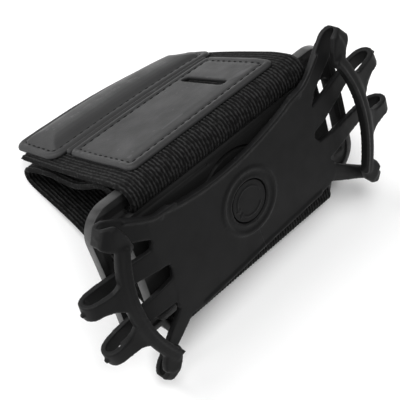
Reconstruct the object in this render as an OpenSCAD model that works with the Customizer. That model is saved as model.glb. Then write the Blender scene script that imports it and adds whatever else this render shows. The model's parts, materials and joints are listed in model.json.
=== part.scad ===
// Forearm band phone mount: an arched plastic plate with a swivelling silicone
// harness on its front and an elastic webbing loop with a padded pull tab behind it.
// Millimetres, +Z up. The part stands on its webbing loop, the plate leaning back.
// Origin: centre of the footprint, on the floor. +X runs along the plate's long side.

/* [Frame plate] */
// Half length of the plate, hub centre to end wall
plate_half_l = 55.75; // [50:0.25:62]
// Half width of the plate, hub centre to long outer wall
plate_half_w = 28.9; // [26:0.1:34]
// Height of the long outer walls
plate_t = 3.2; // [2.4:0.1:4.5]
// Radius of the arched front face
arch_r = 290; // [150:5:600]
// Hub centre to the lower wall at the two ends, where the webbing does not pass
end_low = 24.6; // [23:0.1:28.9]
// Outer corner radius
plate_corner_r = 10; // [6:0.5:14]
// Half length of the raised centre pad
pad_half_l = 44.5; // [40:0.5:48]
// Half width of the raised centre pad
pad_half_w = 21.65; // [19:0.05:22]
// Height of the pad above the plate face
pad_step = 2.25; // [1:0.05:2.6]
// Width of the slots the webbing passes through
slot_w = 2.4; // [2.2:0.1:3.2]

/* [Webbing] */
// Width of the elastic webbing
web_w = 80; // [70:1:81]
// Thickness of the elastic webbing
web_t = 1.8; // [1.2:0.1:2]

/* [Pull tab] */
// Width of the flat panel next to the plate
near_w = 66; // [60:1:76]
// Width of the padded panel at the free end
far_w = 76; // [70:0.5:84]
// Thickness of the flat panel
near_t = 1.4; // [1:0.1:2]
// Thickness of the padded panel at its middle
far_t = 4.2; // [2.5:0.1:5]
// Length of the oval slot in the flat panel
oval_l = 23; // [10:0.5:26]

/* [Swivel hub] */
// Radius of the swivel disc
rotor_r = 17.5; // [15:0.5:19]
// Radius of the release button
button_r = 7.5; // [6:0.1:7.6]
// Radius of the raised ring round the button
ring_r = 12.3; // [11:0.1:14]

/* [Harness] */
// Turn of the harness about the hub, counter-clockwise seen from the front, degrees
harness_turn = 3.5; // [-90:0.5:90]
// Thickness of the silicone sheet
sheet_t = 2; // [1.6:0.1:2.4]
// Height of the gripping bars above the sheet, middle to middle
grip_rise = 4.7; // [4:0.1:9]
// Radius of the gripping bar arcs about the hub
bar_r = 55.2; // [50:0.2:60]
// Width of the middle straps where they turn back
loop_w = 5.4; // [4:0.1:7]
// Width of the corner straps where they turn back
corner_w = 5; // [4:0.1:8]
// Width of the cupped straps at the two upper corners
cup_w = 8.4; // [5:0.1:9]

/* [Hidden] */
$fn = 96;
lean = 53.2;
foot_shift = -19.85;
edge_z = -2.85;
crown_z = edge_z + arch_r - sqrt(arch_r * arch_r - plate_half_w * plate_half_w);
rear_z = edge_z - plate_t;
sheet_z = 3.4;
sheet_top = sheet_z + sheet_t;
mid_z = sheet_z + sheet_t / 2;
bar_z = mid_z + grip_rise;
split_x = 30;
plastic = [0.11, 0.11, 0.12];
silicone = [0.14, 0.14, 0.15];
webbing = [0.08, 0.08, 0.09];
leather = [0.2, 0.2, 0.21];
thread = [0.28, 0.28, 0.29];
steel = [0.7, 0.7, 0.72];

// ---- curves: smooth line through control points, and strips laid beside it ----
function cr(a, b, c, d, t) = 0.5 * ((2 * b) + (c - a) * t + (2 * a - 5 * b + 4 * c - d) * t * t
    + (3 * b - a - 3 * c + d) * t * t * t);
function at(p, i) = p[min(max(i, 0), len(p) - 1)];
function smooth(p, n = 4) = [for (i = [0 : len(p) - 2], k = [0 : n - 1])
    cr(at(p, i - 1), p[i], p[i + 1], at(p, i + 2), k / n), p[len(p) - 1]];
function unit(v) = v / norm(v);
function tangent(p, i) = unit(at(p, i + 1) - at(p, i - 1));
function side(p, i) = let (t = tangent(p, i)) [-t[1], t[0]];
function beside(p, d) = [for (i = [0 : len(p) - 1]) p[i] + d * side(p, i)];
function flip(p) = [for (i = [len(p) - 1 : -1 : 0]) p[i]];
function strip(p, a, b) = concat(beside(p, a), flip(beside(p, b)));

// ---- centre lines of the webbing in the (y, z) section of the plate ----
top_wrap = [[29.95, -1.85], [29.15, -0.35], [27.55, 0.7], [25.45, 0.9], [23.6, 0.2],
    [22.85, -1.4], [22.85, -5.4], [23.3, -7.4], [25.2, -8.7], [26.6, -10.7]];
inner_run = [[26.85, -14], [25.5, -18.5], [22.8, -24.5], [20.6, -31], [20, -37.5], [20.2, -44],
    [19.2, -51], [17.9, -57]];
far_turn = [[16.4, -61.2], [14, -62.9], [11.4, -62.4], [8.8, -58.8]];
back_run = [[5.4, -51.5], [-0.2, -41], [-8.8, -30.5], [-17.4, -21.3], [-24.4, -13.8]];
low_wrap = [[-28.8, -8.7], [-29.95, -5.4], [-29.7, -2.5], [-28.4, -1], [-26, -0.7], [-23.8, -1.2],
    [-22.85, -2.9], [-22.85, -6], [-22.4, -9], [-20.1, -13.6], [-15.5, -18.9], [-11, -23.6]];
loop_line = smooth(concat(top_wrap, inner_run, far_turn, back_run, low_wrap));
flap_line = smooth([[30.35, -3], [30.25, -6], [29.45, -12], [28.25, -18], [26.95, -25],
    [25.45, -34], [23.95, -44], [22.75, -52], [21.4, -60.6], [20.4, -66.8]]);
hinge_at = flap_line[0];
function rise(p) = p[0] * sin(lean) + p[1] * cos(lean);
floor_drop = -min([for (p = strip(loop_line, -web_t / 2, web_t / 2)) rise(p)]);

// ---- placing ----
module place() translate([0, foot_shift, floor_drop]) rotate([lean, 0, 0]) children();
module turned() rotate([0, 0, harness_turn]) children();
module ring(ro, ri, z0, z1) translate([0, 0, z0]) difference() {
    cylinder(r = ro, h = z1 - z0);
    translate([0, 0, -1]) cylinder(r = ri, h = z1 - z0 + 2);
}
module disc(r, z0, z1) translate([0, 0, z0]) cylinder(r = r, h = z1 - z0);
module across(w) rotate([90, 0, 90]) linear_extrude(height = w, center = true) children();
module rrect(l, w, r) {
    square([l - 2 * r, w], center = true);
    square([l, w - 2 * r], center = true);
    for (sx = [-1, 1], sy = [-1, 1])
        translate([sx * (l / 2 - r), sy * (w / 2 - r)]) circle(r = r);
}

// ---- frame plate ----
module column() translate([0, 0, -20]) linear_extrude(height = 40) children();
module arched(extra) translate([0, 0, crown_z - arch_r]) rotate([0, 90, 0])
    cylinder(r = arch_r + extra, h = 140, center = true, $fn = 360);
module shell(extra, depth) difference() {
    arched(extra);
    arched(-depth);
}
module plate_outline(inset = 0) {
    translate([0, (plate_half_w - end_low) / 2])
        rrect(2 * (plate_half_l - inset), plate_half_w + end_low - 2 * inset, plate_corner_r - inset);
    polygon([[-44.5 + inset, -end_low + 3], [-41.5 + inset, inset - plate_half_w],
        [41.5 - inset, inset - plate_half_w], [44.5 - inset, -end_low + 3]]);
}
module openings() {
    for (s = [-1, 1]) {
        translate([0, s * (pad_half_w + slot_w / 2)]) rrect(82.4, slot_w, slot_w / 2 - 0.05);
        translate([s * (pad_half_l + 3.4), 0]) rrect(6.8, 32, 2);
    }
}
module frame_plate() color(plastic) place() difference() {
    union() {
        intersection() {
            shell(0, plate_t);
            column() difference() { plate_outline(); openings(); }
        }
        intersection() {
            shell(0.6, 1);
            column() difference() { plate_outline(); plate_outline(2.2); }
        }
        intersection() {
            shell(pad_step, plate_t - 0.3);
            column() rrect(2 * pad_half_l, 2 * pad_half_w, 3);
        }
        disc(17.8, rear_z, -2);
    }
    disc(rotor_r + 0.7, -1, 9);
    disc(8.6, -9, 9);
    disc(13.8, -9, -3.2);
    disc(15.7, -9, -5.2);
    translate([-8.3, 19.1, -0.2]) cylinder(r = 0.6, h = 4, $fn = 24);
}

// ---- swivel ----
module friction_washer() color(thread) place() ring(16, 9.5, -1, -0.6);
module screw_places() for (a = [30, 150, 270]) rotate([0, 0, a]) translate([7.08, 0, 0]) children();
module swivel_rotor() color(plastic) place() difference() {
    union() {
        disc(rotor_r, -0.55, 1.2);
        disc(14.5, 1, sheet_z);
        disc(8.55, -3.3, 0);
    }
    disc(button_r + 0.5, 2, 6);
    disc(5.6, -6, 6);
    screw_places() disc(0.8, -6, 0.4);
}
module retaining_ring() color(steel) place() difference() {
    ring(13.2, 5, -4.4, -3.3);
    screw_places() disc(0.9, -6, 0);
}
module rotor_screws() color(steel) place() screw_places() difference() {
    union() {
        disc(1.5, -5.05, -4.4);
        disc(0.78, -4.5, 0.3);
    }
    for (a = [0, 90]) rotate([0, 0, a]) translate([-1, -0.2, -5.3]) cube([2, 0.4, 0.6]);
}
module back_cover() color(plastic) place() difference() {
    disc(15.6, rear_z, -5.2);
    translate([0, 0, rear_z - 0.2]) ring(14, 13.2, 0, 0.5);
}
module latch_plunger() color(plastic) place() {
    disc(7.2, 3.3, 3.9);
    disc(5.55, 2.2, 3.4);
}
module arrow(from, sweep) {
    rotate([0, 0, from]) translate([0, 0, 5]) rotate_extrude(angle = sweep)
        translate([5.1, 0]) square([0.8, 0.5]);
    rotate([0, 0, from + sweep]) translate([5.5, 0, 5]) linear_extrude(height = 0.5)
        polygon([[-1.3, 0], [1.3, 0], [0.1, sign(sweep) * 1.9]]);
}
module release_button() color(silicone) place() turned() {
    disc(button_r, 3.9, 5.2);
    arrow(9, 172);
    arrow(-36, -112);
}

// ---- harness ----
top_edge = smooth([[-split_x, 21.6], [-20, 19], [-8, 17.4], [5, 17.5], [19, 19.4], [split_x, 22]]);
low_edge = smooth([[-split_x, -21.2], [-15, -21.2], [0, -20.9], [15, -21], [split_x, -21.2]]);
module harness_sheet() color(silicone) place() turned() difference() {
    union() {
        translate([0, 0, sheet_z]) linear_extrude(height = sheet_t)
            polygon(concat(top_edge, flip(low_edge)));
        translate([0, 0, sheet_z + 0.5]) linear_extrude(height = sheet_t - 0.1) {
            polygon(strip(top_edge, 0, -1.4));
            polygon(strip(low_edge, 0, 1.4));
        }
        ring(ring_r, ring_r - 1.4, sheet_z + 1, sheet_top + 0.4);
        ring(8.9, 7.9, sheet_z + 1, sheet_top + 0.2);
    }
    disc(button_r + 0.4, 0, 9);
}
// a strap lies along its own line in plan and follows a height profile; both ends have a width
mid_profile = smooth([[0, mid_z], [7, mid_z - 0.2], [14, mid_z - 1.2], [21, mid_z - 2.5],
    [28, mid_z - 3.5], [32.4, mid_z - 3.4], [35.1, mid_z - 1.9], [35.6, mid_z + 0.6],
    [34, mid_z + 2.6], [30, mid_z + 3.5], [25, mid_z + 4.2], [21.5, mid_z + 4.5]], 3);
corner_profile = smooth([[0, mid_z], [6, mid_z - 0.2], [12, mid_z - 0.6], [18, mid_z - 1],
    [22, mid_z - 0.9], [24.4, mid_z + 0.4], [24.8, mid_z + 2.2], [23, mid_z + 3.8], [19.5, mid_z + 4.4]], 3);
module strap(root, turn, profile, w0, w1) {
    run = turn - root;
    reach = norm(run);
    translate([root[0], root[1], 0]) rotate([0, 0, atan2(run[1], run[0])]) intersection() {
        rotate([90, 0, 0]) linear_extrude(height = 30, center = true)
            polygon(strip(profile, sheet_t / 2, -sheet_t / 2));
        translate([0, 0, -10]) linear_extrude(height = 40)
            polygon([[-4, -w0 / 2], [0, -w0 / 2], [reach * 0.85, -w1 / 2], [reach + 2, -w1 / 2],
                [reach + 2, w1 / 2], [reach * 0.85, w1 / 2], [0, w0 / 2], [-4, w0 / 2]]);
    }
}
module nub(at_xy, a, z) translate([at_xy[0], at_xy[1], z]) rotate([0, 0, a]) rotate([0, 90, 0])
    cylinder(r = 0.8, h = 1.6, center = true, $fn = 24);
// web: how much further out the sheet reaches between the straps; tilt: lean of the bar
module grip(loop_y, web = 0, tilt = 0, low = 27, cup_root = 6) {
    translate([0, 0, sheet_z]) linear_extrude(height = sheet_t)
        polygon([[split_x + 0.35, 22.1], [34, 22.4], [38, 23.9], [38.8, 15.5],
            [36.6 + 3.4 * web, 13], [36.6 + 2.8 * web, 8], [34.6 + 2 * web, 3.5],
            [34.2 + 2 * web, 0.8], [36.4 + web, -3], [36.6 + web, -8.6], [38 + web, -11.4],
            [39.6, -13.8], [38.2, -18.6], [36.4, -20.2], [33.8, -21], [split_x + 0.35, -21.2]]);
    strap([33, 7.4], [68.6, loop_y], mid_profile, 9.6, loop_w);
    strap([33, -6.6], [68.6, loop_y - 20.8], mid_profile, 9.6, loop_w);
    strap([35.4, 18.2], [54.2, 30.6], corner_profile, cup_root, cup_w);
    strap([36.4, -16.7], [54, -31], corner_profile, 6.6, corner_w);
    translate([49, -25, 0]) rotate([0, 0, -tilt]) translate([-49, 25, 0])
        rotate([0, 0, -low]) rotate_extrude(angle = 27 + low, $fn = 180) translate([bar_r, bar_z])
            polygon([[-2.3, -1.4], [2.3, -1.4], [2.3, 0.9], [1.2, 1.4], [-0.8, 1.4], [-1, 2], [-2.3, 2]]);
    translate([0, 0, bar_z - 1.4]) linear_extrude(height = 2.4) {
        polygon([[47, 22.5], [51.6, 20], [53.6, 25], [53.4, 29], [52, 33], [49.4, 31.8], [47.8, 28]]);
        polygon([[47, -22.5], [52.2, -20], [54.8, -24], [56, -27], [53.2, -29.8], [50, -30.6],
            [47.8, -27.5]]);
    }
    for (s = [0, 20.8]) nub([69.6, loop_y - s], 9 - s / 1.2, mid_z + 0.2);
    nub([55.4, 31.4], 34, mid_z + 2);
    nub([55.4, -32.1], -38, mid_z + 2);
    translate([32.5, 20.4, sheet_z + 1]) cylinder(r = 0.7, h = sheet_t - 0.7, $fn = 24);
}
module right_grip() color(silicone) place() turned() grip(12.4);
module left_grip() color(silicone) place() turned() mirror([1, 0, 0]) grip(11, 1, 1.8, 28.4, 7.4);

// ---- webbing ----
module band_loop() color(webbing) place() across(web_w)
    polygon(strip(loop_line, -web_t / 2, web_t / 2));
module band_flap() color(webbing) place() {
    across(web_w) polygon(strip(web_run, -web_t / 2, web_t / 2));
    translate([0, hinge_at[0], hinge_at[1]]) rotate([0, 90, 0])
        cylinder(r = web_t / 2, h = web_w, center = true, $fn = 48);
}
module stitch(x, p, ang) translate([x, p[0], p[1]]) rotate([ang, 0, 0])
    cube([1.9, 0.9, 0.5], center = true);
module band_seams() color(thread) place() for (k = [0, 2], x = [-38 : 2.8 : 38])
    translate([x, 0, 0]) stitch(0, beside(smooth(back_run), -web_t / 2 - 0.56)[12 + k], 43);

// ---- pull tab ----
function flap_index(z) = min([for (i = [0 : len(flap_line) - 1]) if (flap_line[i][1] <= z) i]);
function flap_at(z) = let (i = flap_index(z), a = flap_line[i - 1], b = flap_line[i],
    t = (z - a[1]) / (b[1] - a[1])) a + t * (b - a);
function flap_run(z0, z1, n = 12) = [for (k = [0 : n]) flap_at(z0 + (z1 - z0) * k / n)];
module flat_cut(w, z0, z1, r) translate([0, 60, (z0 + z1) / 2]) rotate([90, 0, 0])
    linear_extrude(height = 120) rrect(w, z0 - z1, r);
web_run = concat([hinge_at], flap_run(-3.4, -60.8, 24));
near_run = flap_run(-4.2, -39.4);
far_run = flap_run(-41.9, -66);
strip_run = flap_run(-39.7, -41.6, 4);
hook_run = flap_run(-40, -58.5, 8);
panel_base = web_t / 2 + 0.12;
module hook_patch() color(webbing) place() across(66) polygon(strip(hook_run, -web_t / 2 - 0.65, -web_t / 2 - 0.05));
module loop_patch() color(webbing) place() across(70)
    polygon(strip(flap_run(-40, -57.5, 8), -web_t / 2 - 1.45, -web_t / 2 - 0.95));
module near_panel() color(leather) place() difference() {
    intersection() {
        across(near_w) polygon(strip(near_run, panel_base, panel_base + near_t));
        flat_cut(near_w, -4.2, -39.4, 3);
    }
    translate([16.5, 60, -23.3]) rotate([90, 0, 0]) linear_extrude(height = 120)
        rrect(3.2, oval_l, 1.59);
}
module far_panel() color(leather) place() difference() {
    intersection() {
        across(far_w) polygon(strip(far_run, panel_base, panel_base + far_t));
        flat_cut(far_w, -41.9, -67.6, 5);
    }
    panel_core(0.15);
}
module panel_core(extra) {
    across(far_w - 12 + 2 * extra) polygon(strip(flap_run(-45 + extra, -62.6 - extra, 8),
        panel_base + 0.8 - extra, panel_base + far_t - 1 + extra));
}
module panel_foam() color(thread) place() panel_core(0);
module seam_strip() color(leather) place() intersection() {
    across(near_w) polygon(strip(strip_run, panel_base, panel_base + near_t + 0.5));
    flat_cut(near_w + 2, -35, -46, 3);
}
module run_stitches(w, z0, z1, off) {
    rows = floor((z0 - z1) / 3);
    for (k = [0 : rows], s = [-1, 1]) {
        p = flap_at(z0 - 1 - k * (z0 - z1 - 2) / rows);
        translate([s * w / 2, p[0] + off, p[1]]) rotate([-8, 0, 0]) cube([0.5, 0.5, 1.9], center = true);
    }
    cols = floor(w / 3);
    for (k = [1 : cols - 1], z = [z0, z1]) {
        p = flap_at(z);
        translate([-w / 2 + k * w / cols, p[0] + off, p[1]]) rotate([-8, 0, 0]) cube([1.9, 0.5, 0.5], center = true);
    }
}
module near_stitching() color(thread) place() run_stitches(near_w - 6, -7.2, -36.6, panel_base + near_t + 0.36);
module far_stitching() color(thread) place() run_stitches(far_w - 7, -45, -63.4, panel_base + far_t + 0.42);

frame_plate();
friction_washer();
swivel_rotor();
retaining_ring();
rotor_screws();
back_cover();
latch_plunger();
release_button();
harness_sheet();
left_grip();
right_grip();
band_loop();
band_flap();
band_seams();
loop_patch();
hook_patch();
near_panel();
far_panel();
panel_foam();
seam_strip();
near_stitching();
far_stitching();
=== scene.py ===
"""Looks of the forearm band phone mount: moulded silicone harness, ribbed elastic webbing,
stitched leather-look pull tab and hard plastic plate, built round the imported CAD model."""
import json
import math

import bmesh
import bpy
import numpy as np
from mathutils import Matrix, Vector


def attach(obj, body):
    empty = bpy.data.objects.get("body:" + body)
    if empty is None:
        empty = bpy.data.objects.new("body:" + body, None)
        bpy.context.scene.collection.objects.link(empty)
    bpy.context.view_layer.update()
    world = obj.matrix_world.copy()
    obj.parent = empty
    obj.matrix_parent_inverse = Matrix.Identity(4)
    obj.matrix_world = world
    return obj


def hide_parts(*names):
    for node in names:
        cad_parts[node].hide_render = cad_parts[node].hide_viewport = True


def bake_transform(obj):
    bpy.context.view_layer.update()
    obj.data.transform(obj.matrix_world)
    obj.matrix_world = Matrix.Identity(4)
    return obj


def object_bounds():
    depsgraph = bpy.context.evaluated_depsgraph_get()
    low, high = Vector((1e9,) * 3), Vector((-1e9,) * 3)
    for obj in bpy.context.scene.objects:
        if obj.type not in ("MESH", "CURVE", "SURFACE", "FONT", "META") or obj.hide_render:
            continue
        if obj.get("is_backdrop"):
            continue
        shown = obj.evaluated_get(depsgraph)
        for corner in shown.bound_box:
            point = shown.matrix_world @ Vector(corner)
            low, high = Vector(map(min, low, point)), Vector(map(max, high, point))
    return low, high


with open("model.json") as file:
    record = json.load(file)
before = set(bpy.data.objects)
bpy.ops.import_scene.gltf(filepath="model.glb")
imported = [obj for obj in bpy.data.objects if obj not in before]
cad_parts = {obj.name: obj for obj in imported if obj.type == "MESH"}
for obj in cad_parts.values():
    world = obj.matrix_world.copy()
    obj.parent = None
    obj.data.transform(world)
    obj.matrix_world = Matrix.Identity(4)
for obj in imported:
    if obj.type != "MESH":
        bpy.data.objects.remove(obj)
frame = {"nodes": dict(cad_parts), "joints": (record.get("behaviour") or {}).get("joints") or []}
cad_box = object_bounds()
nodes = frame["nodes"]

# ---- the plate's own frame, from the swivel joint: x along the plate, y across it, z out of its face ----
MM = 0.001
swivel = next(j for j in frame["joints"] if j["name"] == "harness_swivel")
HUB = np.array(swivel["pos_m"])
NORMAL = np.array(swivel["axis"])
ALONG = np.array((1.0, 0.0, 0.0))
ACROSS = np.cross(NORMAL, ALONG)
AXES = np.array((ALONG, ACROSS, NORMAL))
stretch = next(j for j in frame["joints"] if j["name"] == "right_stretch")
TURN = math.asin(np.dot(stretch["axis"], ACROSS))


def to_row(points):
    """Plate frame in millimetres to the row frame in metres."""
    return HUB + MM * (np.asarray(points, float).reshape(-1, 3) @ AXES)


def turned(points):
    """Harness frame to plate frame: the harness is turned a little about the hub."""
    p = np.asarray(points, float).reshape(-1, 3)
    c, s = math.cos(TURN), math.sin(TURN)
    return np.stack((c * p[:, 0] - s * p[:, 1], s * p[:, 0] + c * p[:, 1], p[:, 2]), 1)


def smooth_line(points, n=6):
    """A Catmull-Rom curve through the points, n steps a span."""
    p = np.asarray(points, float)
    ext = np.vstack((p[0], p, p[-1]))
    out = []
    for i in range(len(p) - 1):
        a, b, c, d = ext[i : i + 4]
        for t in np.arange(n) / n:
            out.append(
                0.5 * (2 * b + (c - a) * t + (2 * a - 5 * b + 4 * c - d) * t**2 + (3 * b - a - 3 * c + d) * t**3)
            )
    out.append(p[-1])
    return np.array(out)


def normals_2d(line):
    """Left-hand unit normals of a 2-D line."""
    d = np.gradient(line, axis=0)
    d /= np.linalg.norm(d, axis=1)[:, None]
    return np.stack((-d[:, 1], d[:, 0]), 1)


# ---- materials ----
def new_material(name, colour, rough, metallic=0.0, specular=0.5):
    mat = bpy.data.materials.new(name)
    mat.use_nodes = True
    shader = mat.node_tree.nodes["Principled BSDF"]
    shader.inputs["Base Color"].default_value = (*colour, 1)
    shader.inputs["Roughness"].default_value = rough
    shader.inputs["Metallic"].default_value = metallic
    shader.inputs["Specular IOR Level"].default_value = specular
    return mat, mat.node_tree, shader


def add(tree, kind, **values):
    node = tree.nodes.new(kind)
    for key, value in values.items():
        if key in node.inputs:
            node.inputs[key].default_value = value
        else:
            setattr(node, key, value)
    return node


def noise(tree, scale, detail, stretch_by=(1, 1, 1)):
    """Noise at a scale in cycles a metre, in object space."""
    coord = add(tree, "ShaderNodeTexCoord")
    mapping = add(tree, "ShaderNodeMapping")
    mapping.inputs["Scale"].default_value = stretch_by
    tex = add(tree, "ShaderNodeTexNoise", Scale=scale, Detail=detail)
    tree.links.new(coord.outputs["Object"], mapping.inputs["Vector"])
    tree.links.new(mapping.outputs["Vector"], tex.inputs["Vector"])
    return tex.outputs["Fac"]


def ramp(tree, source, low, high, lo=0.3, hi=0.7):
    """Maps a 0-1 value to a colour or grey between low and high."""
    node = add(tree, "ShaderNodeValToRGB")
    node.color_ramp.elements[0].position, node.color_ramp.elements[1].position = lo, hi
    for element, value in zip(node.color_ramp.elements, (low, high)):
        element.color = (value, value, value, 1) if np.isscalar(value) else (*value, 1)
    tree.links.new(source, node.inputs["Fac"])
    return node.outputs["Color"]


def bump(tree, shader, height, distance, strength, after=None):
    node = add(tree, "ShaderNodeBump", Distance=distance, Strength=strength)
    tree.links.new(height, node.inputs["Height"])
    if after is not None:
        tree.links.new(after, node.inputs["Normal"])
    tree.links.new(node.outputs["Normal"], shader.inputs["Normal"])
    return node.outputs["Normal"]


def painted_edge_highlight(tree, shader, base, highlight_colour):
    """Mixes a lighter colour in on sharp convex edges: a painted highlight that stands in for the light the edges
    catch.
    """
    geometry = add(tree, "ShaderNodeNewGeometry")
    mask = ramp(tree, geometry.outputs["Pointiness"], 0.0, 1.0, 0.53, 0.62)
    mix = add(tree, "ShaderNodeMix", data_type="RGBA")
    mix.inputs["B"].default_value = (*highlight_colour, 1)
    tree.links.new(mask, mix.inputs["Factor"])
    tree.links.new(base, mix.inputs["A"])
    tree.links.new(mix.outputs["Result"], shader.inputs["Base Color"])


def silicone_material():
    mat, tree, shader = new_material("silicone", (0.006, 0.006, 0.006), 0.5, specular=0.14)
    blotch = noise(tree, 45, 4)
    colour = ramp(tree, blotch, (0.0048, 0.0048, 0.005), (0.0068, 0.0068, 0.007))
    # painted highlight: the moulding's convex edges are given a lighter colour in place of the light they catch
    painted_edge_highlight(tree, shader, colour, (0.016, 0.016, 0.0164))
    tree.links.new(ramp(tree, noise(tree, 180, 4), 0.44, 0.58), shader.inputs["Roughness"])
    fine = bump(tree, shader, noise(tree, 5200, 2), 0.00002, 0.35)
    bump(tree, shader, noise(tree, 240, 2), 0.00012, 0.25, fine)
    return mat


def plastic_material(name, level, rough):
    mat, tree, shader = new_material(name, (level,) * 3, rough, specular=0.22)
    colour = ramp(tree, noise(tree, 60, 3), (level * 0.9,) * 3, (level * 1.12,) * 3)
    # painted highlight: convex edges over twice as light as the plastic, standing in for lit edges
    painted_edge_highlight(tree, shader, colour, (level * 2.2,) * 3)
    tree.links.new(ramp(tree, noise(tree, 300, 4), rough - 0.07, rough + 0.08), shader.inputs["Roughness"])
    bump(tree, shader, noise(tree, 4200, 2), 0.00003, 0.4)
    return mat


def leather_material():
    mat, tree, shader = new_material("panel_leather", (0.02, 0.02, 0.02), 0.48, specular=0.22)
    coord = add(tree, "ShaderNodeTexCoord")
    cells = add(tree, "ShaderNodeTexVoronoi", Scale=1500.0, feature="DISTANCE_TO_EDGE")
    tree.links.new(coord.outputs["Object"], cells.inputs["Vector"])
    grain = ramp(tree, cells.outputs["Distance"], 0.0, 1.0, 0.0, 0.32)
    colour = ramp(tree, noise(tree, 38, 5), (0.018, 0.018, 0.0184), (0.0235, 0.0235, 0.0239))
    # painted highlight: the panels' rolled edges are given a lighter colour in place of the light on them
    painted_edge_highlight(tree, shader, colour, (0.04, 0.04, 0.041))
    tree.links.new(ramp(tree, noise(tree, 120, 4), 0.42, 0.56), shader.inputs["Roughness"])
    first = bump(tree, shader, grain, 0.00004, 0.35)
    bump(tree, shader, noise(tree, 110, 3), 0.0004, 0.22, first)
    return mat


def webbing_material():
    """Ribbed elastic knit: 'cloth' holds each point's place on the flat webbing, in metres."""
    mat, tree, shader = new_material("webbing", (0.009, 0.009, 0.009), 0.85, specular=0.13)
    place = add(tree, "ShaderNodeAttribute", attribute_name="cloth")
    split = add(tree, "ShaderNodeSeparateXYZ")
    tree.links.new(place.outputs["Vector"], split.inputs["Vector"])
    rib = add(tree, "ShaderNodeMath", operation="MULTIPLY")
    rib.inputs[1].default_value = 2 * math.pi / (RIB_PITCH * MM)
    tree.links.new(split.outputs["X"], rib.inputs[0])
    wave = add(tree, "ShaderNodeMath", operation="COSINE")
    tree.links.new(rib.outputs[0], wave.inputs[0])
    knit = add(tree, "ShaderNodeTexVoronoi", Scale=1150.0)
    knit_map = add(tree, "ShaderNodeMapping")
    knit_map.inputs["Scale"].default_value = (1.3, 0.8, 1)
    tree.links.new(place.outputs["Vector"], knit_map.inputs["Vector"])
    tree.links.new(knit_map.outputs["Vector"], knit.inputs["Vector"])
    speckle = ramp(tree, knit.outputs["Distance"], 1.0, 0.0, 0.1, 0.75)
    both = add(tree, "ShaderNodeMath", operation="MULTIPLY_ADD")
    both.inputs[1].default_value = 0.5
    tree.links.new(wave.outputs[0], both.inputs[0])
    tree.links.new(speckle, both.inputs[2])
    dark, light = (0.0015,) * 3, (0.021,) * 3
    tree.links.new(ramp(tree, both.outputs[0], dark, light, 0.2, 1.4), shader.inputs["Base Color"])
    bump(tree, shader, both.outputs[0], 0.00016, 0.8)
    return mat


def thread_material():
    mat, tree, shader = new_material("thread", (0.004, 0.004, 0.004), 0.7, specular=0.1)
    twist = noise(tree, 2600, 2)
    tree.links.new(ramp(tree, twist, (0.002,) * 3, (0.007,) * 3), shader.inputs["Base Color"])
    bump(tree, shader, twist, 0.00006, 0.6)
    return mat


def pile_material():
    mat, tree, shader = new_material("fastener_pile", (0.01, 0.01, 0.01), 0.95, specular=0.15)
    fuzz = noise(tree, 1900, 5)
    tree.links.new(ramp(tree, fuzz, (0.004,) * 3, (0.028,) * 3), shader.inputs["Base Color"])
    bump(tree, shader, fuzz, 0.0004, 0.9)
    return mat


def foam_material():
    mat, tree, shader = new_material("foam", (0.05, 0.05, 0.05), 0.95, specular=0.1)
    cells = noise(tree, 2200, 4)
    tree.links.new(ramp(tree, cells, (0.03,) * 3, (0.08,) * 3), shader.inputs["Base Color"])
    bump(tree, shader, cells, 0.0003, 0.8)
    return mat


def steel_material():
    mat, tree, shader = new_material("hub_steel", (0.55, 0.55, 0.57), 0.32, metallic=1.0)
    tree.links.new(ramp(tree, noise(tree, 500, 4, (1, 14, 1)), 0.24, 0.42), shader.inputs["Roughness"])
    return mat


RIB_PITCH = 1.3
SILICONE = silicone_material()
PLASTIC = plastic_material("frame_plastic", 0.014, 0.36)
HUB_PLASTIC = plastic_material("hub_plastic", 0.008, 0.42)
WASHER = plastic_material("washer_plastic", 0.10, 0.5)
LEATHER = leather_material()
WEBBING = webbing_material()
THREAD = thread_material()
PILE = pile_material()
FOAM = foam_material()
STEEL = steel_material()


# ---- mesh helpers ----
def link(name, data):
    obj = bpy.data.objects.new(name, data)
    bpy.context.scene.collection.objects.link(obj)
    return obj


def new_object(name, verts, faces, material, cloth=None):
    """A smooth-shaded mesh from plate-frame points in millimetres."""
    mesh = bpy.data.meshes.new(name)
    mesh.from_pydata([tuple(v) for v in to_row(verts)], [], faces)
    mesh.update()
    if cloth is not None:
        flat = mesh.attributes.new("cloth", "FLOAT_VECTOR", "POINT")
        flat.data.foreach_set("vector", (np.asarray(cloth, np.float32) * MM).ravel())
    obj = link(name, mesh)
    mesh.materials.append(material)
    tidy_normals(mesh)
    mesh.shade_smooth()
    return obj


def tidy_normals(mesh):
    bm = bmesh.new()
    bm.from_mesh(mesh)
    bmesh.ops.recalc_face_normals(bm, faces=bm.faces)
    bm.to_mesh(mesh)
    bm.free()


def apply_modifiers(obj):
    bpy.context.view_layer.update()
    final = bpy.data.meshes.new_from_object(obj.evaluated_get(bpy.context.evaluated_depsgraph_get()))
    obj.modifiers.clear()
    obj.data = final


def grid_faces(rows, cols, start=0, close_cols=False):
    """Quads of a rows x cols grid of vertices numbered row by row."""
    last = cols if close_cols else cols - 1
    return [
        (start + r * cols + c, start + r * cols + (c + 1) % cols,
         start + (r + 1) * cols + (c + 1) % cols, start + (r + 1) * cols + c)
        for r in range(rows - 1) for c in range(last)
    ]


# ---- webbing: a ribbed band along a line in the plate's (y, z) section ----
WEB_W, WEB_T = 80.0, 1.8
EDGE = 0.8  # how far in from its edges and ends the webbing gets thinner
END_THICKNESS = 0.15  # its thickness at the very ends, as a share
RIB_DEPTH = 0.11
COLUMNS_A_RIB = 4


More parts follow.
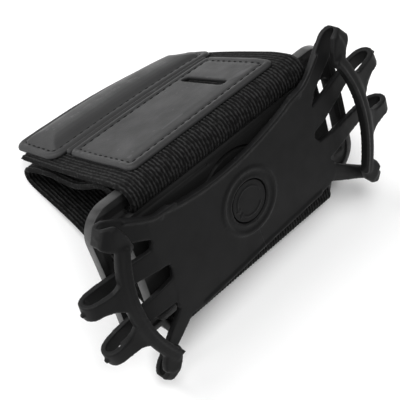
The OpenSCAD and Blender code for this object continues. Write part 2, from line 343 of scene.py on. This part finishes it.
def band(name, line, sag=None):
    """A soft-edged ribbed band of webbing that follows line. sag(x, points) shifts the section."""
    columns = int(COLUMNS_A_RIB * WEB_W / RIB_PITCH)
    xs = np.linspace(-WEB_W / 2, WEB_W / 2, columns + 1)
    near_edge = np.clip((np.abs(xs) - (WEB_W / 2 - EDGE)) / EDGE, 0, 1)
    half = WEB_T / 2 * np.sqrt(1 - near_edge**2)
    half += RIB_DEPTH * np.cos(2 * math.pi * xs / RIB_PITCH) * (1 - near_edge)
    arc = np.concatenate(([0], np.cumsum(np.linalg.norm(np.diff(line, axis=0), axis=1))))
    ends = np.minimum(arc, arc[-1] - arc)
    taper = np.sqrt(1 - (1 - np.clip(ends / EDGE, 0, 1)) ** 2)
    side = normals_2d(line)
    verts, cloth = [], []
    for sign in (1, -1):
        for i in range(len(line)):
            offset = sign * half * max(taper[i], END_THICKNESS)
            section = line[i] + offset[:, None] * side[i]
            if sag is not None:
                section = section + sag(xs, section)
            verts += [(x, y, z) for x, (y, z) in zip(xs, section)]
            cloth += [(x, arc[i], 0) for x in xs]
    rows, cols = len(line), len(xs)
    top, low = 0, rows * cols
    faces = grid_faces(rows, cols, top) + grid_faces(rows, cols, low)
    for r in range(rows - 1):
        for c in (0, cols - 1):
            a, b = r * cols + c, (r + 1) * cols + c
            faces.append((top + a, top + b, low + b, low + a))
    for c in range(cols - 1):
        for r in (0, rows - 1):
            a, b = r * cols + c, r * cols + c + 1
            faces.append((top + a, top + b, low + b, low + a))
    return new_object(name, verts, faces, WEBBING, cloth), arc[-1]


# ---- panels: rings that follow a rounded outline inwards, raised to a profile ----
def outline(width, length, radius, inset, n=9, pitch=1.0):
    """A closed rounded rectangle moved inwards; every inset has the same number of points."""
    hw, hl, r = width / 2 - inset, length / 2 - inset, max(radius - inset, 0.05)
    nw, nl = max(2, int(width / pitch)), max(2, int(length / pitch))
    points = []
    corners = ((1, 1, 0), (-1, 1, 90), (-1, -1, 180), (1, -1, 270))
    for k, (sx, sy, start) in enumerate(corners):
        centre = np.array((sx * (hw - r), sy * (hl - r)))
        for a in np.radians(np.linspace(start, start + 90, n)):
            points.append(centre + r * np.array((math.cos(a), math.sin(a))))
        nx, ny, start_next = corners[(k + 1) % 4]
        target = np.array((nx * (hw - r), ny * (hl - r)))
        target += r * np.array((math.cos(math.radians(start_next)), math.sin(math.radians(start_next))))
        count = nw if k % 2 == 0 else nl
        last = points[-1]
        points += [(1 - t) * last + t * target for t in np.arange(1, count) / count]
    return np.array(points)


def panel(name, width, length, radius, profile, place, material, base):
    """A closed crowned panel. profile lists (inset, height); place(x, s, h) gives plate-frame points."""
    rings = [outline(width, length, radius, inset) for inset, _ in profile]
    verts = []
    for (_, height), ring in zip(profile, rings):
        verts.append(place(ring[:, 0], ring[:, 1], np.full(len(ring), height)))
    cols = len(rings[0])
    floor_insets = (0.3, min(width, length) / 2 - 0.5)
    for inset in floor_insets:
        ring = outline(width, length, radius, inset)
        verts.append(place(ring[:, 0], ring[:, 1], np.full(len(ring), base)))
    faces = grid_faces(len(rings), cols, 0, True)
    low = len(rings) * cols
    faces += [(c, low + c, low + (c + 1) % cols, (c + 1) % cols) for c in range(cols)]
    faces += grid_faces(2, cols, low, True)
    faces.append(tuple((len(rings) - 1) * cols + c for c in range(cols)))
    faces.append(tuple(low + cols + c for c in range(cols)))
    return new_object(name, np.vstack(verts), faces, material)


THREAD_R, THREAD_BULGE = 0.3, 0.22
STITCH_PITCH, STITCH_SHARE = 3.0, 0.7


def dashes(name, starts, ends, ups):
    """Rounded stitches, one from each start to its end, lying on a surface with normals ups."""
    verts, faces = [], []
    sides, stations = 8, np.array((0, 0.12, 0.35, 0.65, 0.88, 1))
    for a, b, up in zip(starts, ends, ups):
        axis = b - a
        out = up / np.linalg.norm(up)
        across = np.cross(axis, out)
        across /= np.linalg.norm(across)
        first = len(verts)
        for t in stations:
            r = THREAD_R * (0.25 + 0.75 * math.sin(math.pi * min(max(t, 0.08), 0.92)))
            centre = a + t * axis + out * THREAD_BULGE * (math.sin(math.pi * t) - 0.6)
            for k in range(sides):
                angle = 2 * math.pi * k / sides
                verts.append(centre + r * (math.cos(angle) * across + math.sin(angle) * out))
        faces += grid_faces(len(stations), sides, first, True)
        faces.append(tuple(range(first, first + sides)))
        last = first + (len(stations) - 1) * sides
        faces.append(tuple(range(last, last + sides)))
    return new_object(name, verts, faces, THREAD)


def stitch_loop(name, width, length, radius, inset, place, height):
    """Stitches round a rounded outline at an inset."""
    ring = outline(width, length, radius, inset)
    closed = np.vstack((ring, ring[:1]))
    arc = np.concatenate(([0], np.cumsum(np.linalg.norm(np.diff(closed, axis=0), axis=1))))
    count = int(arc[-1] / STITCH_PITCH)
    at = np.arange(count) * arc[-1] / count

    def on(s, h):
        x, y = np.interp(s, arc, closed[:, 0]), np.interp(s, arc, closed[:, 1])
        return place(x, y, np.full(len(x), h))

    starts, ends = on(at, height), on(at + STITCH_PITCH * STITCH_SHARE, height)
    return dashes(name, starts, ends, on(at, height + 1) - starts)


def soften(obj, voxel, rounds):
    """Fuses a mesh of overlapping solids into one skin and rounds it like a moulding."""
    remesh = obj.modifiers.new("remesh", "REMESH")
    remesh.mode, remesh.voxel_size, remesh.use_smooth_shade = "VOXEL", voxel * MM, True
    relax = obj.modifiers.new("relax", "SMOOTH")
    relax.factor, relax.iterations = 0.5, rounds
    apply_modifiers(obj)


# ---- section lines of the webbing, (y, z) in the plate frame, as in the CAD source ----
TOP_WRAP = [(29.15, -0.35), (27.55, 0.7), (25.45, 0.9), (23.6, 0.2), (22.85, -1.4), (22.85, -5.4),
            (23.3, -7.4), (25.2, -8.7), (26.6, -10.7)]
INNER_RUN = [(26.85, -14), (25.5, -18.5), (22.8, -24.5), (20.6, -31), (20, -37.5), (20.2, -44),
             (19.2, -51), (17.9, -57)]
FAR_TURN = [(16.4, -61.2), (14, -62.9), (11.4, -62.4), (8.8, -58.8)]
BACK_RUN = [(5.4, -51.5), (-0.2, -41), (-8.8, -30.5), (-17.4, -21.3), (-24.4, -13.8)]
LOW_WRAP = [(-28.8, -8.7), (-29.95, -5.4), (-29.7, -2.5), (-28.4, -1), (-26, -0.7), (-23.8, -1.2),
            (-22.85, -2.9), (-22.85, -6), (-22.4, -9), (-20.1, -13.6), (-15.5, -18.9), (-11, -23.6)]
FLAP = [(30.35, -3), (30.25, -6), (29.45, -12), (28.25, -18), (26.95, -25), (25.45, -34), (23.95, -44),
        (22.75, -52), (21.4, -60.6), (20.4, -66.8)]

SAG, LIFT = 5.5, 0.8  # the tab's right end hangs, and its left end stands up a little
flap_curve = smooth_line(FLAP, 8)
FLAP_HALF = WEB_T / 2


def flap_point(z):
    return np.interp(-z, -flap_curve[:, 1], flap_curve[:, 0])


def flap_sag(x, y, z):
    """How far the tab's surface drops across the plate, towards its right end and its free edge."""
    reach = np.clip((-z - 6) / 54, 0, 1.2)
    right = np.clip((x + 30) / 68, 0, 1)
    return -SAG * reach**2 * right**2.5 + LIFT * reach**2 * np.clip((10 - x) / 48, 0, 1)


def on_flap(x, z, h):
    """A point h above the tab's centre surface, at x along the plate and z from its face."""
    z = np.asarray(z, float)
    y = flap_point(z)
    slope = flap_point(z - 0.5) - flap_point(z + 0.5)
    out = np.stack((np.ones_like(slope), slope), 1)
    out /= np.linalg.norm(out, axis=1)[:, None]
    y2, z2 = y + out[:, 0] * h, z + out[:, 1] * h
    return np.stack((x, y2 + flap_sag(x, y2, z2), z2), 1)


def web_sag(xs, section):
    y, z = section[:, 0], section[:, 1]
    return np.stack((flap_sag(xs, y, z), np.zeros_like(y)), 1)


band_line = smooth_line(TOP_WRAP[5:] + INNER_RUN + FAR_TURN + BACK_RUN + LOW_WRAP, 6)
band_web, band_length = band("band_web", band_line)
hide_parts("band_loop")
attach(band_web, "frame")

flap_line = smooth_line(TOP_WRAP[5::-1] + FLAP[:-1], 6)
flap_web, flap_length = band("flap_web", flap_line, web_sag)
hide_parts("band_flap")
hinge = FLAP[0]
tuple(to_row((0, hinge[0] - 0.3, hinge[1] + 3.0))[0])
tuple(to_row((0, hinge[0] - 0.6, hinge[1] - 4.0))[0])
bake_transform(flap_web)

# ---- pull tab ----
NEAR_W, NEAR_L, NEAR_MID, NEAR_R = 66.0, 35.4, -21.9, 3.0
FAR_W, FAR_L, FAR_MID, FAR_R = 76.0, 25.8, -54.7, 5.0
BASE = FLAP_HALF + 0.02
RIDGE_MID, RIDGE_L = -40.7, 2.2

# each profile: (inset from the edge, height), a rolled rim, the groove of the stitches, then the crown
near_profile = [(0.0, BASE + 0.35), (0.1, BASE + 0.85), (0.4, BASE + 1.3), (0.9, BASE + 1.6), (1.6, BASE + 1.72),
                (2.2, BASE + 1.62), (2.7, BASE + 1.25), (3.0, BASE + 1.0), (3.3, BASE + 1.2), (3.8, BASE + 1.45),
                (5.0, BASE + 1.55), (8.0, BASE + 1.6), (12.0, BASE + 1.6), (17.3, BASE + 1.6)]
far_profile = [(0.0, BASE + 0.3), (0.12, BASE + 0.9), (0.5, BASE + 1.45), (1.1, BASE + 1.8), (2.0, BASE + 1.95),
               (2.7, BASE + 1.75), (3.2, BASE + 1.35), (3.6, BASE + 1.55), (4.2, BASE + 2.1), (5.2, BASE + 2.8),
               (6.8, BASE + 3.4), (9.0, BASE + 3.9), (11.0, BASE + 4.1), (12.6, BASE + 4.15)]


def near_place(x, s, h):
    return on_flap(x, NEAR_MID + s, h)


def far_place(x, s, h):
    return on_flap(x, FAR_MID + s, h)


def ridge_place(x, s, h):
    return on_flap(x, RIDGE_MID + s, h)


near_leather = panel("near_leather", NEAR_W, NEAR_L, NEAR_R, near_profile, near_place, LEATHER, BASE)
far_leather = panel("far_leather", FAR_W, FAR_L, FAR_R, far_profile, far_place, LEATHER, BASE)

OVAL_X, OVAL_Z, OVAL_W, OVAL_L = 16.5, -23.3, 3.2, 23.0
ring = outline(OVAL_W, OVAL_L, OVAL_W / 2 - 0.02, 0, 7)
low_ring = on_flap(OVAL_X + ring[:, 0], OVAL_Z + ring[:, 1], np.full(len(ring), BASE - 1))
high_ring = on_flap(OVAL_X + ring[:, 0], OVAL_Z + ring[:, 1], np.full(len(ring), BASE + 5))
count = len(ring)
oval_faces = grid_faces(2, count, 0, True) + [tuple(range(count)), tuple(range(count, 2 * count))]
cutter = new_object("oval_cutter", np.vstack((low_ring, high_ring)), oval_faces, LEATHER)
cut = near_leather.modifiers.new("oval", "BOOLEAN")
cut.object, cut.operation, cut.solver = cutter, "DIFFERENCE", "EXACT"
apply_modifiers(near_leather)
bpy.data.objects.remove(cutter)
soften(near_leather, 0.36, 3)
soften(far_leather, 0.4, 8)

ridge_profile = [(0.0, BASE + 0.1), (0.15, BASE + 0.9), (0.5, BASE + 1.5), (0.9, BASE + 1.7), (1.05, BASE + 1.72)]
seam_ridge = panel("seam_ridge", NEAR_W - 1, RIDGE_L, 1.0, ridge_profile, ridge_place, LEATHER, BASE)

near_thread = stitch_loop("near_thread", NEAR_W, NEAR_L, NEAR_R, 3.0, near_place, BASE + 1.15)
far_thread = stitch_loop("far_thread", FAR_W, FAR_L, FAR_R, 3.2, far_place, BASE + 1.5)
core_profile = [(0.0, BASE + 0.5), (0.3, BASE + 0.9), (1.0, BASE + 1.4), (2.5, BASE + 2.2), (5.0, BASE + 2.8),
                (6.0, BASE + 2.9)]
foam_core = panel("foam_core", FAR_W - 14, 14.0, 2.0, core_profile, far_place, FOAM, BASE + 0.4)

for piece, node, slot in (
    (near_leather, "near_panel", "panel_leather"), (far_leather, "far_panel", "panel_leather"),
    (seam_ridge, "seam_strip", "panel_leather"), (near_thread, "near_stitching", "thread"),
    (far_thread, "far_stitching", "thread"), (foam_core, "panel_foam", "foam"),
):
    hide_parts(node)
    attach(piece, "flap")


# ---- hook-and-loop patches between the tab and the band ----
def patch(name, width, z0, z1, depth, thick, node, body):
    """A thin pile patch on the back of the tab: depth is its far side, measured from the tab's centre surface."""
    profile = [(0.0, -depth + 0.12), (0.15, -depth + thick * 0.7), (0.6, -depth + thick), (3.0, -depth + thick),
               (8.0, -depth + thick)]
    length = z0 - z1

    def place(x, s, h):
        return on_flap(x, (z0 + z1) / 2 + s, h)

    piece = panel(name, width, length, 2.0, profile, place, PILE, -depth)
    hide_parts(node)
    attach(piece, body)
    return piece


hook_pile = patch("hook_pile", 66, -40, -58.5, FLAP_HALF + 0.65, 0.6, "hook_patch", "flap")
loop_pile = patch("loop_pile", 70, -40, -57.5, FLAP_HALF + 1.45, 0.5, "loop_patch", "frame")

# ---- the band's own seam, behind the plate ----
back = smooth_line(BACK_RUN, 4)
back_out = back - (WEB_T / 2 + 0.15) * normals_2d(back)
SEAM_ROWS, SEAM_HALF, SEAM_PITCH = (12, 14), 38, 2.8
starts, ends, ups = [], [], []
for row in SEAM_ROWS:
    for x in np.arange(-SEAM_HALF, SEAM_HALF + 0.1, SEAM_PITCH):
        y, z = back_out[row]
        up = -normals_2d(back)[row]
        starts.append(np.array((x - 1, y, z)))
        ends.append(np.array((x + 1, y, z)))
        ups.append(np.array((0, up[0], up[1])))
band_thread = dashes("band_thread", starts, ends, ups)
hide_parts("band_seams")
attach(band_thread, "frame")


# ---- harness: one silicone moulding, cut at the hub into two ends ----
SHEET_Z0, SHEET_Z1, SPLIT_X = 3.4, 5.4, 30.0
VOXEL = 0.36
STRETCH = (14, 36)  # where the stretch starts and ends, out from the hub


def slab(bm, points, z0, z1):
    """A prism over a polygon in the harness frame, added to bm in the row frame."""
    n = len(points)
    low = to_row(turned([(x, y, z0) for x, y in points]))
    high = to_row(turned([(x, y, z1) for x, y in points]))
    vs = [bm.verts.new(p) for p in np.vstack((low, high))]
    bm.faces.new(vs[:n][::-1])
    bm.faces.new(vs[n:])
    for i in range(n):
        bm.faces.new((vs[i], vs[(i + 1) % n], vs[n + (i + 1) % n], vs[n + i]))


def flare(bm, centres, widths, thick, mirror):
    """A ribbon through harness-frame points with its own width at each, added to bm."""
    line = smooth_line([(*c, w) for c, w in zip(centres, widths)], 5)
    d = np.gradient(line[:, :3], axis=0)
    d /= np.linalg.norm(d, axis=1)[:, None]
    across = np.stack((-d[:, 1], d[:, 0], np.zeros(len(d))), 1)
    across /= np.linalg.norm(across, axis=1)[:, None]
    up = np.cross(d, across)
    up *= np.sign(up[:, 2])[:, None]
    sections = []
    for sa, su in ((-1, -1), (1, -1), (1, 1), (-1, 1)):
        sections.append(line[:, :3] + sa * across * line[:, 3:] / 2 + su * up * thick / 2)
    pts = np.stack(sections, 1).reshape(-1, 3)
    if mirror:
        pts[:, 0] *= -1
    vs = [bm.verts.new(p) for p in to_row(turned(pts))]
    for f in grid_faces(len(line), 4, 0, True):
        bm.faces.new([vs[i] for i in f])
    bm.faces.new(vs[:4])
    bm.faces.new(vs[-4:])


bm = bmesh.new()
for name in ("harness_sheet", "left_grip", "right_grip"):
    bm.from_mesh(nodes[name].data)
bmesh.ops.remove_doubles(bm, verts=bm.verts, dist=1e-6)
# bridges over the CAD's splits between the sheet and the ends
for s in (-1, 1):
    x0, x1 = s * (SPLIT_X - 1.5), s * (SPLIT_X + 1.5)
    slab(bm, [(x0, -21.2), (x1, -21.2), (x1, 22.1), (x0, 21.95)], SHEET_Z0, SHEET_Z1)
# webs that spread from the finger loops into the bars, and a bead along the sheet's upper edge
LOOP_WEB = ((54.4, 9.1), (57.6, 8.7), (60.5, 8.1), (64, 7.2))
BEAD = [(26, 20.7, 5.35), (31, 21.5, 5.4), (35, 22.2, 5.4), (39, 24.3, 5.25), (45, 28.2, 4.9)]
for mirror, webs in ((False, ((9.6, 0), (-7.4, 0))), (True, ((9.1, 0.9), (-8.1, 0.3)))):
    for angle, lean in webs:
        c, s = math.cos(math.radians(angle)), math.sin(math.radians(angle))
        flare(bm, [((r + lean) * c, r * s, z) for r, z in LOOP_WEB], (15.5, 10.2, 6.6, 5.3), 2.2, mirror)
    flare(bm, BEAD, (1.4, 1.4, 1.4, 1.3, 1.1), 1.0, mirror)
bmesh.ops.recalc_face_normals(bm, faces=bm.faces)
mould_mesh = bpy.data.meshes.new("mould")
bm.to_mesh(mould_mesh)
bm.free()
mould = link("mould", mould_mesh)
soften(mould, VOXEL, 5)

# the corner cups are round-ended in plan, and they and the bar ends are softer than the rest
origin, x_tip, y_tip = (np.array(to_row(turned(p))[0]) for p in ((0, 0, 0), (1, 0, 0), (0, 1, 0)))
x_unit, y_unit = (x_tip - origin) / MM, (y_tip - origin) / MM
skin = np.array([v.co for v in mould.data.vertices]) - origin
skin_x, skin_y = skin @ x_unit / MM, skin @ y_unit / MM
CUPS = [((35.4, 18.2), (54.2, 30.6)), ((36.4, -16.7), (54.0, -31.0))]  # root and turn of each corner strap
CUP_END, CUP_HALF, CUP_TAPER = 3.2, 7, 0.85
for sign in (-1, 1):
    for root, turn in CUPS:
        way = np.subtract(turn, root)
        reach = np.linalg.norm(way)
        way = way / reach
        from_x, from_y = skin_x * sign - root[0], skin_y - root[1]
        far = from_x * way[0] + from_y * way[1]
        aside = from_y * way[0] - from_x * way[1]
        late = np.clip((far - reach + CUP_END) / (2 * CUP_END), 0, 1) * (np.abs(aside) < CUP_HALF)
        shift = aside * (np.sqrt(1 - CUP_TAPER * late**2) - 1)
        skin += MM * shift[:, None] * (-way[1] * sign * x_unit + way[0] * y_unit)
for vert, place in zip(mould.data.vertices, skin + origin):
    vert.co = place
skin_x, skin_y = np.abs(skin_x), np.abs(skin_y)
rounding = np.clip((skin_x - 44) / 4, 0, 1) * np.clip((skin_y - 20) / 4, 0, 1)
ends = mould.vertex_groups.new(name="ends")
for i in np.nonzero(rounding)[0]:
    ends.add([int(i)], float(rounding[i]), "REPLACE")
relax = mould.modifiers.new("round_ends", "SMOOTH")
relax.vertex_group, relax.factor, relax.iterations = "ends", 0.5, 18
apply_modifiers(mould)
mould.vertex_groups.clear()


def half(name, sign, body):
    """One end of the moulding, from the hub outwards."""
    bm = bmesh.new()
    bm.from_mesh(mould.data)
    along = Vector(stretch["axis"]) * sign
    cut = bmesh.ops.bisect_plane(bm, geom=bm.verts[:] + bm.edges[:] + bm.faces[:], dist=1e-7,
                                 plane_co=Vector(HUB), plane_no=along, clear_inner=True)
    edges = [g for g in cut["geom_cut"] if isinstance(g, bmesh.types.BMEdge)]
    bmesh.ops.holes_fill(bm, edges=edges, sides=0)
    mesh = bpy.data.meshes.new(name)
    bm.to_mesh(mesh)
    bm.free()
    mesh.materials.clear()
    mesh.materials.append(SILICONE)
    mesh.shade_smooth()
    obj = link(name, mesh)
    start, end = (tuple(to_row(turned((sign * x, 0, (SHEET_Z0 + SHEET_Z1) / 2)))[0]) for x in STRETCH)
    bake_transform(obj)
    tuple(start)
    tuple(end)
    return obj


harness_right = half("harness_right", 1, "grip_right")
harness_left = half("harness_left", -1, "grip_left")
bpy.data.objects.remove(mould)
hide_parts("harness_sheet", "right_grip")
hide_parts("left_grip")

# ---- release button: a shallow cap with a turning arrow raised on it ----
BUTTON_R, BUTTON_LOW, BUTTON_TOP = 7.5, 3.9, 5.2
ARROW_R, ARROW_RISE = 5.4, 0.22


def arrow(bm, start, sweep):
    """A raised arc with a head at its end, angles in degrees."""
    arc = [math.radians(start + sweep * t) for t in np.linspace(0, 1, 15)]
    centres = [(ARROW_R * math.cos(a), ARROW_R * math.sin(a), BUTTON_TOP) for a in arc]
    flare(bm, centres, [0.55] * len(arc), 2 * ARROW_RISE, False)
    tip = math.radians(start + sweep * 1.1)
    head = [(r * math.cos(a), r * math.sin(a)) for r, a in
            ((ARROW_R - 1.1, arc[-1]), (ARROW_R, tip), (ARROW_R + 1.1, arc[-1]))]
    slab(bm, head, BUTTON_TOP - ARROW_RISE, BUTTON_TOP + ARROW_RISE)


bm = bmesh.new()
rim = [math.radians(a) for a in range(0, 360, 4)]
slab(bm, [(BUTTON_R * math.cos(a), BUTTON_R * math.sin(a)) for a in rim], BUTTON_LOW, BUTTON_TOP)
arrow(bm, 9, 172)
arrow(bm, -36, -112)
bmesh.ops.recalc_face_normals(bm, faces=bm.faces)
cap_mesh = bpy.data.meshes.new("button_cap")
bm.to_mesh(cap_mesh)
bm.free()
button_cap = link("button_cap", cap_mesh)
soften(button_cap, 0.16, 3)
button_cap.data.materials.clear()
button_cap.data.materials.append(SILICONE)
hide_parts("release_button")
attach(button_cap, "button")


# ---- CAD nodes that keep their shape ----
def finish_node(name, material, width):
    """Gives a CAD node its material and soft edges of a width in millimetres."""
    node = nodes[name]
    node.data.materials.clear()
    node.data.materials.append(material)
    node.data.shade_smooth()
    weld = node.modifiers.new("weld", "WELD")
    weld.merge_threshold = 1e-6
    bevel = node.modifiers.new("soft_edges", "BEVEL")
    bevel.width, bevel.segments = width * MM, 3
    bevel.limit_method, bevel.angle_limit = "ANGLE", math.radians(32)
    bevel.harden_normals = True


finish_node("frame_plate", PLASTIC, 0.45)
finish_node("friction_washer", WASHER, 0.1)
finish_node("swivel_rotor", HUB_PLASTIC, 0.2)
finish_node("retaining_ring", STEEL, 0.1)
finish_node("rotor_screws", STEEL, 0.08)
finish_node("back_cover", PLASTIC, 0.15)
finish_node("latch_plunger", HUB_PLASTIC, 0.15)

# ---- stage: pale floor, soft light, camera ----
FLOOR_HALF = 3.0
FLOOR_DROP = 0.0002  # keeps the floor clear of the band that stands on it
corners = [(x * FLOOR_HALF, y * FLOOR_HALF, 0) for x, y in ((-1, -1), (1, -1), (1, 1), (-1, 1))]
floor_mesh = bpy.data.meshes.new("floor")
floor_mesh.from_pydata(corners, [], [(0, 1, 2, 3)])
floor = link("floor", floor_mesh)
floor.location.z = -FLOOR_DROP
floor_mesh.materials.append(new_material("floor_paper", (0.97, 0.97, 0.97), 0.9, specular=0.1)[0])
floor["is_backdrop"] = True

world = bpy.data.worlds.new("studio")
bpy.context.scene.world = world
world.use_nodes = True
world.node_tree.nodes["Background"].inputs["Color"].default_value = (1, 1, 1, 1)
world.node_tree.nodes["Background"].inputs["Strength"].default_value = 0.38
bpy.context.scene.view_settings.view_transform = "Standard"


def soft_box(name, place, target, size, power):
    light = bpy.data.lights.new(name, "AREA")
    light.shape, light.size, light.energy = "DISK", size, power
    obj = link(name, light)
    obj.location = place
    obj.rotation_euler = (Vector(target) - Vector(place)).to_track_quat("-Z", "Y").to_euler()


MIDDLE = (0.0, 0.0, 0.03)
soft_box("key", (-0.45, 0.95, 0.75), MIDDLE, 0.7, 14)
soft_box("side_fill", (-0.9, -0.2, 0.5), MIDDLE, 0.6, 3)
soft_box("top", (0.1, 0.1, 1.3), MIDDLE, 1.2, 9.5)

# the camera, in the plate frame
CAMERA_AT = (-172.65, 221.35, 244.5)
VIEW_RIGHT, VIEW_UP = (0.7001, -0.2503, 0.6687), (0.5639, 0.7684, -0.3027)
camera_data = bpy.data.cameras.new("camera")
camera_data.sensor_width, camera_data.lens = 36, 100.66
camera_data.clip_start = 0.01
camera = link("camera", camera_data)
right, up = (Vector(np.asarray(v) @ AXES).normalized() for v in (VIEW_RIGHT, VIEW_UP))
basis = Matrix((right, up, right.cross(up))).transposed().to_4x4()
camera.matrix_world = Matrix.Translation(to_row(CAMERA_AT)[0]) @ basis
bpy.context.scene.camera = camera

[[list(map(float, corner)) for corner in box] for box in (cad_box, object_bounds())]
